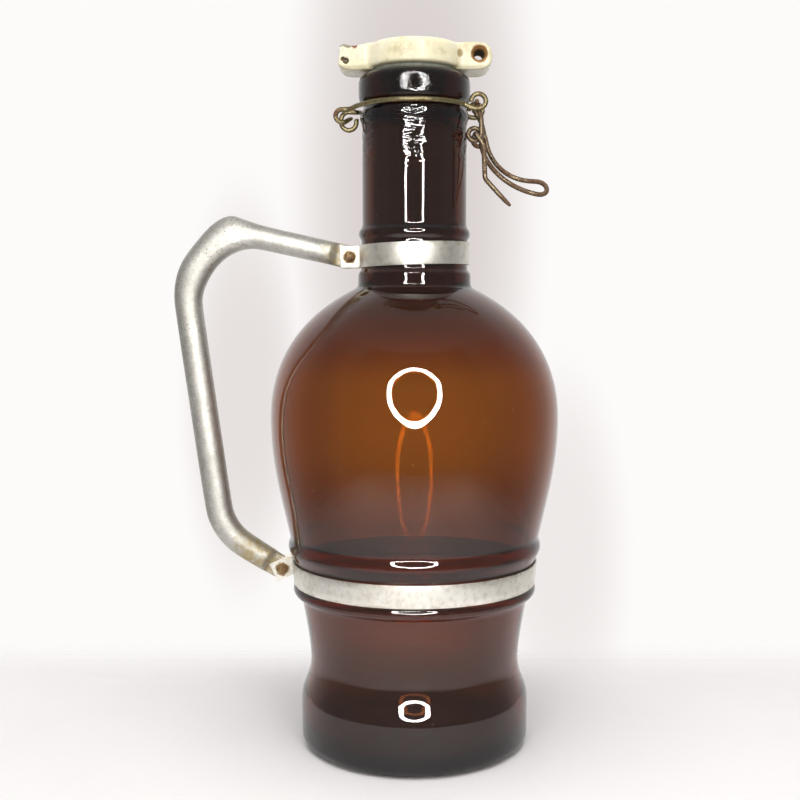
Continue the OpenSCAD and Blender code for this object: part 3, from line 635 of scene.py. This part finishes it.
def porcelain():
    s = Shader("porcelain")
    mottle = s.noise(90, detail=5.0, roughness=0.6)
    stain, shaded_bore = ear_hole_stain_and_shade(s)
    glaze = s.mix(stain, crazed_glaze(s, mottle), HOLE_STAIN, share=0.95)
    # Painted shade: the bore of the hole is darkened, brown like the stain round it
    glaze = s.mix(shaded_bore, glaze, BORE_SHADE)
    run = s.spot(RUN_PLACE, 1.3 * MM, soft=1.1 * MM, ragged=1.6 * MM)
    glaze = s.mix(run, glaze, RUN_BROWN, share=0.8)
    broken = broken_top(s)
    coarse = s.noise(700, detail=4.0, roughness=0.7)
    colour = s.mix(broken, glaze, s.ramp(coarse, *FRACTURE))
    rust = s.spot(RUST_PLACE, 1.0 * MM, soft=0.6 * MM, ragged=1.2 * MM, scale=900)
    colour = s.mix(rust, colour, RUST)
    pits = s.larger(s.spot(UPPER_PIT, 1.0 * MM, soft=0.25 * MM, ragged=0.6 * MM, scale=900),
                    s.spot(LOWER_PIT, 1.35 * MM, soft=0.25 * MM, ragged=0.6 * MM, scale=900))
    colour = s.mix(pits, colour, s.ramp(coarse, *PIT_DARK))
    glossy = s.rise(mottle, 0.3, 0.7, low=0.34, high=0.2)
    roughness = s.math("MULTIPLY_ADD", broken, 0.5, glossy)
    roughness = s.larger(roughness, s.times(s.larger(shaded_bore, stain), 0.95))
    normal = s.bumps((mottle, 0.12 * MM), (s.times(coarse, broken), 0.35 * MM))
    return s.surface(Base_Color=colour, Roughness=roughness, Normal=normal,
                     Subsurface_Weight=0.1, Subsurface_Scale=2 * MM)


# ---------------------------------------------------------------- rubber of the seal
RUBBER = [(0.3, (0.16, 0.17, 0.13)), (0.7, (0.3, 0.31, 0.25))]


def aged_rubber():
    s = Shader("aged_rubber")
    grain = s.noise(300, detail=5.0, roughness=0.6)
    return s.surface(Base_Color=s.ramp(grain, *RUBBER), Roughness=0.72,
                     Normal=s.bumps((grain, 0.1 * MM)))


# ---------------------------------------------------------------- metal of wires and screws
# How much lighter rust is at its lightest, and over how much of the noise it comes in
RUST_LIGHTER = 1.9
RUST_EDGE = 0.07


def wire_material(name, shift, clean, dull, rust, share):
    """Bare wire, rusted over the given share of it; shift moves its pattern."""
    s = Shader(name)
    patch = s.noise(130, detail=5.0, roughness=0.65, shift=shift)
    fine = s.noise(900, detail=4.0, roughness=0.6, shift=shift + 1)
    metal = s.ramp(fine, (0.3, dull), (0.7, clean))
    rusted = s.rise(patch, 1.0 - share - RUST_EDGE, 1.0 - share + RUST_EDGE)
    flakes = s.ramp(fine, (0.3, rust), (0.7, tuple(RUST_LIGHTER * c for c in rust)))
    roughness = s.rise(rusted, 0, 1, low=0.36, high=0.75)
    metallic = s.rise(rusted, 0, 1, low=0.85, high=0.15)
    normal = s.bumps((patch, 0.12 * MM), (s.times(fine, rusted), 0.12 * MM))
    return s.surface(Base_Color=s.mix(rusted, metal, flakes), Roughness=roughness,
                     Metallic=metallic, Normal=normal)


def olive_wire(shift):
    return wire_material("olive_wire", shift, clean=(0.36, 0.31, 0.17), dull=(0.17, 0.14, 0.07),
                         rust=(0.11, 0.055, 0.022), share=0.42)


def rusty_wire(shift):
    return wire_material("rusty_wire", shift, clean=(0.3, 0.23, 0.15), dull=(0.12, 0.085, 0.05),
                         rust=(0.1, 0.055, 0.028), share=0.5)


SCREW_RUST = [(0.32, (0.1, 0.05, 0.02)), (0.48, (0.24, 0.13, 0.05)), (0.66, (0.46, 0.36, 0.2))]


def rusty_steel(shift):
    s = Shader("rusty_steel")
    fine = s.noise(900, detail=4.0, roughness=0.6, shift=shift)
    patch = s.noise(420, detail=4.0, roughness=0.6, shift=shift + 2)
    metallic = s.rise(patch, 0.4, 0.7, low=0.2, high=0.8)
    normal = s.bumps((fine, 0.08 * MM), (patch, 0.12 * MM))
    return s.surface(Base_Color=s.ramp(patch, *SCREW_RUST), Roughness=0.5, Metallic=metallic,
                     Normal=normal)


# ---------------------------------------------------------------- aluminium of handle and straps
CAST = [(0.3, (0.55, 0.54, 0.5)), (0.7, (0.73, 0.72, 0.68))]
CAST_MOTTLE = (0.36, 0.34, 0.29)
CAST_GRAIN = (0.27, 0.26, 0.22)
CAST_SCRATCH = (0.8, 0.79, 0.76)
HANDLE_DIRT = (0.38, 0.28, 0.1)
HANDLE_PIT = (0.1, 0.09, 0.07)
# The handle is dirty where it meets the straps, and pitted on its upper bend and below it
UPPER_END = (-0.038, 0, 0.235)
LOWER_END = (-0.074, 0, 0.092)
UPPER_BEND = (-0.098, 0, 0.247)
BELOW_BEND = (-0.108, 0, 0.205)
STRAP = [(0.3, (0.85, 0.82, 0.73)), (0.7, (0.98, 0.96, 0.9))]
STRAP_MOTTLE = (0.5, 0.47, 0.38)
STRAP_SCRATCH = (0.93, 0.92, 0.9)
STRAP_GRIME = (0.36, 0.29, 0.16)
TAB_STAIN = (0.5, 0.36, 0.08)
TAB_RUST = (0.3, 0.16, 0.04)


def handle_dirt(s, mottle):
    """Where dirt sits round the handle's two ends."""
    upper = s.spot(UPPER_END, 3 * MM, soft=8 * MM, ragged=9 * MM, scale=180)
    lower = s.spot(LOWER_END, 8 * MM, soft=12 * MM, ragged=14 * MM, scale=150)
    return s.times(s.larger(upper, lower), s.rise(mottle, 0.3, 0.6))


def handle_pits(s):
    """Small pits, in patches on the worn bend."""
    below = s.times(s.spot(BELOW_BEND, 12 * MM, soft=16 * MM), 0.6)
    worn = s.larger(s.spot(UPPER_BEND, 14 * MM, soft=14 * MM), below)
    pits = s.times(s.rise(s.cells(560), 0.27, 0.12), worn)
    return s.times(pits, s.rise(s.noise(90, detail=3.0, shift=2.0), 0.42, 0.58))


def handle_aluminium():
    s = Shader("handle_aluminium")
    blotch = s.noise(60, detail=5.0, roughness=0.6)
    mottle = s.noise(420, detail=4.0, roughness=0.65)
    brushed = s.noise(1.0, detail=4.0, roughness=0.6, at=s.scaled(900, 900, 60))
    cast = s.noise(1300, detail=3.0, roughness=0.7)
    dirt = handle_dirt(s, mottle)
    pits = handle_pits(s)
    colour = s.mix(s.rise(mottle, 0.42, 0.62, high=0.3), s.ramp(blotch, *CAST), CAST_MOTTLE)
    colour = s.mix(s.rise(cast, 0.36, 0.6, low=0.32, high=0.0), colour, CAST_GRAIN)
    colour = s.mix(s.rise(brushed, 0.62, 0.75), colour, CAST_SCRATCH, share=0.35)
    colour = s.mix(dirt, colour, HANDLE_DIRT, share=0.75)
    colour = s.mix(pits, colour, HANDLE_PIT, share=0.8)
    roughness = s.rise(blotch, 0.3, 0.7, low=0.54, high=0.46)
    metallic = s.rise(dirt, 0, 1, low=0.84, high=0.4)
    normal = s.bumps((mottle, 0.03 * MM), (brushed, 0.02 * MM), (cast, 0.015 * MM),
                     (blotch, 0.12 * MM), (pits, 0.1 * MM))
    return s.surface(Base_Color=colour, Roughness=roughness, Metallic=metallic, Normal=normal)


def strap_aluminium(height, screw):
    """A strap's metal, grimy along its edges and stained round the screw's head.

    Its height also moves the patterns, so that the two straps differ.
    """
    s = Shader("strap_aluminium")
    blotch = s.noise(70, detail=5.0, roughness=0.6, shift=height * 40)
    mottle = s.noise(380, detail=4.0, roughness=0.6, shift=height * 20)
    along = s.noise(1.0, detail=3.0, roughness=0.6, at=s.scaled(60, 60, 1500))
    scratches = s.noise(1.0, detail=2.0, roughness=0.5, at=s.scaled(900, 900, 220))
    colour = s.mix(s.rise(mottle, 0.45, 0.7, high=0.35), s.ramp(blotch, *STRAP), STRAP_MOTTLE)
    colour = s.mix(s.rise(scratches, 0.66, 0.74), colour, STRAP_SCRATCH, share=0.5)
    edge = s.rise(s.math("ABSOLUTE", s.math("SUBTRACT", s.z, height)), 3.4 * MM, 5.2 * MM)
    grime = s.times(edge, s.rise(s.noise(160, detail=4.0, roughness=0.6), 0.42, 0.62))
    colour = s.mix(grime, colour, STRAP_GRIME, share=0.4)
    ring = s.spot(screw, 3.1 * MM, soft=0.9 * MM, ragged=2.6 * MM, scale=420)
    blot = s.rise(s.noise(520, detail=3.0, roughness=0.6, shift=height * 9), 0.36, 0.6)
    stain = s.times(ring, s.math("MULTIPLY_ADD", blot, 0.7, 0.3))
    colour = s.mix(stain, colour, s.mix(blot, TAB_STAIN, TAB_RUST))
    roughness = s.rise(blotch, 0.3, 0.7, low=0.5, high=0.4)
    metallic = s.rise(stain, 0, 1, low=1.0, high=0.35)
    normal = s.bumps((blotch, 0.15 * MM), (mottle, 0.03 * MM), (along, 0.02 * MM))
    return s.surface(Base_Color=colour, Roughness=roughness, Metallic=metallic, Normal=normal)


# ---------------------------------------------------------------- floor
# The floor's edges; it fades out before its back and sides, between these distances
FLOOR_FRONT = -0.4
FLOOR_BACK = 0.175
FLOOR_HALF_WIDTH = 0.38
FADE_BACK = (0.08, 0.165)
FADE_SIDES = (0.16, 0.36)
# The floor lies this far under the bottle, so that the two don't share a plane
FLOOR_DROP = 0.02 * MM
# Nearer the front than this, the floor's mirror image gets darker
DIM_FROM = -0.2
FLOOR_PAPER = [(0.3, (0.94, 0.92, 0.92)), (0.7, (0.97, 0.95, 0.95))]
FLOOR_DIM = (0.2, 0.19, 0.19)


def floor_paper():
    s = Shader("floor_paper")
    # Towards the tent's opening the floor gets less light; only its mirror image shows there
    mirrored = s.add("LightPath").outputs["Is Glossy Ray"]
    dim = s.times(s.rise(s.y, DIM_FROM, FLOOR_FRONT), mirrored)
    colour = s.mix(dim, s.ramp(s.noise(9), *FLOOR_PAPER), FLOOR_DIM)
    fade = s.larger(s.rise(s.y, *FADE_BACK), s.rise(s.math("ABSOLUTE", s.x), *FADE_SIDES))
    paper = s.add("BsdfPrincipled", Base_Color=colour, Roughness=0.7)
    clear = s.add("BsdfTransparent")
    s.show(s.fill(s.add("MixShader"), fade, paper.outputs[0], clear.outputs[0]))
    return s.material


def make_floor():
    bm = bmesh.new()
    corners = [(-1, FLOOR_FRONT), (1, FLOOR_FRONT), (1, FLOOR_BACK), (-1, FLOOR_BACK)]
    bm.faces.new([bm.verts.new((side * FLOOR_HALF_WIDTH, y, -FLOOR_DROP)) for side, y in corners])
    mesh = mesh_of("floor", bm)
    mesh.materials.append(floor_paper())
    linked("floor", mesh)


# ---------------------------------------------------------------- lamps
# The ring flash: an egg-shaped band whose middle lies above the lens
RING_HALF_WIDTH = 195 * MM
RING_HALF_HEIGHT = 236 * MM
RING_WIDTH = 36 * MM
RING_RISE = 172 * MM
RING_EGG = 0.09
RING_SIDES = 64
RING_COLOUR = (1, 0.98, 0.95)
# Its brightness as a mirror image and as a light
RING_GLARE = 27.0
RING_LIGHT = 12.0
# What it adds in a clear mirror image on the glass; satin metal doesn't get it
CLEAR_GLARE = 45.0
TOP_LIGHT_PLACE = (0, -0.35, 1.1)
TOP_LIGHT_AIM = (0, -0.1, 0.1)
TOP_LIGHT_SIZE = 0.9
TOP_LIGHT_POWER = 7.5


def ring_glow(name, light):
    s = Shader(name)
    path = s.add("LightPath").outputs
    outside = s.math("LESS_THAN", path["Transmission Depth"], 0.5)
    clear = s.times(path["Is Singular Ray"], outside)
    strength = s.math("MULTIPLY_ADD", clear, CLEAR_GLARE, light)
    s.show(s.add("Emission", Color=RING_COLOUR, Strength=strength))
    return s.material


def ring_mesh(name):
    bm = bmesh.new()
    loops = []
    for grow in (-RING_WIDTH / 2, RING_WIDTH / 2):
        wide = RING_HALF_WIDTH + grow
        high = RING_HALF_HEIGHT + grow
        loops.append([bm.verts.new((wide * (1 + RING_EGG * math.sin(a)) * math.cos(a), 0,
                                    high * math.sin(a))) for a in turn_angles(RING_SIDES)])
    inner, outer = loops
    for k in range(RING_SIDES):
        n = (k + 1) % RING_SIDES
        bm.faces.new([inner[k], inner[n], outer[n], outer[k]])
    return mesh_of(name, bm)


def make_ring_lamp(name, light, mirrored):
    """One copy of the ring flash round the lens: shiny surfaces mirror it, or it lights the rest."""
    mesh = ring_mesh(name)
    mesh.materials.append(ring_glow(name, light))
    lamp = linked(name, mesh)
    lamp.location = (EYE[0], EYE[1], EYE[2] + RING_RISE)
    lamp.rotation_euler = (math.radians(-PITCH_DOWN), 0, 0)
    lamp.visible_camera = False
    lamp.visible_glossy = mirrored
    lamp.visible_transmission = mirrored
    lamp.visible_diffuse = not mirrored
    lamp.visible_shadow = False


def make_top_light():
    data = bpy.data.lights.new("top_light", "AREA")
    data.shape = "SQUARE"
    data.size = TOP_LIGHT_SIZE
    data.energy = TOP_LIGHT_POWER
    lamp = linked("top_light", data)
    lamp.location = TOP_LIGHT_PLACE
    away = Vector(TOP_LIGHT_AIM) - Vector(TOP_LIGHT_PLACE)
    lamp.rotation_euler = away.to_track_quat("-Z", "Y").to_euler()
    lamp.visible_glossy = False
    lamp.visible_transmission = False


# ---------------------------------------------------------------- photo tent
# Angles in degrees: the tent's opening as seen from the bottle, round from straight ahead and
# upwards; where the front walls give way to the back wall; where the roof starts and is whole
OPENING_SIDES = (-56, 62)
OPENING_TOP = 57
OPENING_SOFT = 3
BACK_WALL = (85, 160)
ROOF = (40, 62)
# Light of the tent behind the bottle, overhead and in front beside the opening, and of the room
TENT_LIGHT = 0.9
ROOF_LIGHT = 0.45
FRONT_LIGHT = 0.25
ROOM_LIGHT = 0.2
# What falls on surfaces that don't mirror, and what is seen straight or through the glass
AMBIENT = 0.45
PLAIN_VIEW = 1.0
# Soft shadows on the back wall: direction to the middle, half width, half height, depth
BACK_SHADOWS = [(0.0, 0.08, 0.12, 0.42, 0.9),
                (-0.146, -0.07, 0.06, 0.2, 0.6),
                (0.125, -0.2, 0.065, 0.18, 0.4)]
# They come in as the direction's share towards the back goes up to this
SHADOWS_FULL = 0.5
TENT_PAPER = (0.985, 0.965, 0.955)
TENT_SHADOW = (0.66, 0.6, 0.585)


def sines(degrees):
    return [math.sin(math.radians(a)) for a in degrees]


def tent_opening(w, azimuth, up):
    """1 in the tent's opening."""
    left, right = OPENING_SIDES
    sides = w.times(w.rise(azimuth, math.radians(left - OPENING_SOFT),
                           math.radians(left + OPENING_SOFT)),
                    w.rise(azimuth, math.radians(right + OPENING_SOFT),
                           math.radians(right - OPENING_SOFT)))
    top = sines((OPENING_TOP + OPENING_SOFT, OPENING_TOP - OPENING_SOFT))
    return w.times(sides, w.rise(up, *top))


def tent_light(w, azimuth, up):
    """How bright the tent and the room in its opening are, by direction."""
    behind = w.rise(w.math("ABSOLUTE", azimuth), *(math.radians(a) for a in BACK_WALL))
    tent = w.blend(behind, FRONT_LIGHT, TENT_LIGHT)
    tent = w.blend(w.rise(up, *sines(ROOF)), tent, ROOF_LIGHT)
    return w.blend(tent_opening(w, azimuth, up), tent, ROOM_LIGHT)


def wall_shadow(w, across, up, place):
    """One soft shadow on the back wall."""
    side, height, half_width, half_height, depth = place
    squares = []
    for value, centre, half in ((across, side, half_width), (up, height, half_height)):
        off = w.math("DIVIDE", w.math("SUBTRACT", value, centre), half)
        squares.append(w.times(off, off))
    return w.times(w.rise(w.math("ADD", *squares), 1.0, 0.0), depth)


def make_world():
    """A white photo tent, open in front: a ray of light meets white, or the dim room ahead."""
    world = bpy.data.worlds.new("studio")
    bpy.context.scene.world = world
    world.use_nodes = True
    w = Nodes(world.node_tree)
    across, back, up = w.add("SeparateXYZ", Vector=w.add("TexCoord").outputs["Generated"]).outputs
    azimuth = w.math("ARCTAN2", across, w.times(back, -1.0))
    rays = w.add("LightPath").outputs
    direct = w.larger(rays["Is Camera Ray"], rays["Is Transmission Ray"])
    light = w.blend(direct, tent_light(w, azimuth, up), PLAIN_VIEW)
    light = w.blend(rays["Is Diffuse Ray"], light, AMBIENT)
    shade = 0.0
    for place in BACK_SHADOWS:
        shade = w.larger(shade, wall_shadow(w, across, up, place))
    shade = w.times(shade, w.rise(back, 0.0, SHADOWS_FULL))
    sky = w.add("Background", Color=w.mix(shade, TENT_PAPER, TENT_SHADOW), Strength=light)
    w.add("OutputWorld", Surface=sky.outputs[0])


def make_studio():
    make_world()
    make_floor()
    make_ring_lamp("mirrored_ring", RING_GLARE, mirrored=True)
    make_ring_lamp("ring_lamp", RING_LIGHT, mirrored=False)
    make_top_light()
    bpy.context.scene.view_settings.view_transform = "Standard"


# ---------------------------------------------------------------- build
make_camera()
make_bottle()
make_wires()
make_handle()
make_cap()
make_small_parts()
make_studio()
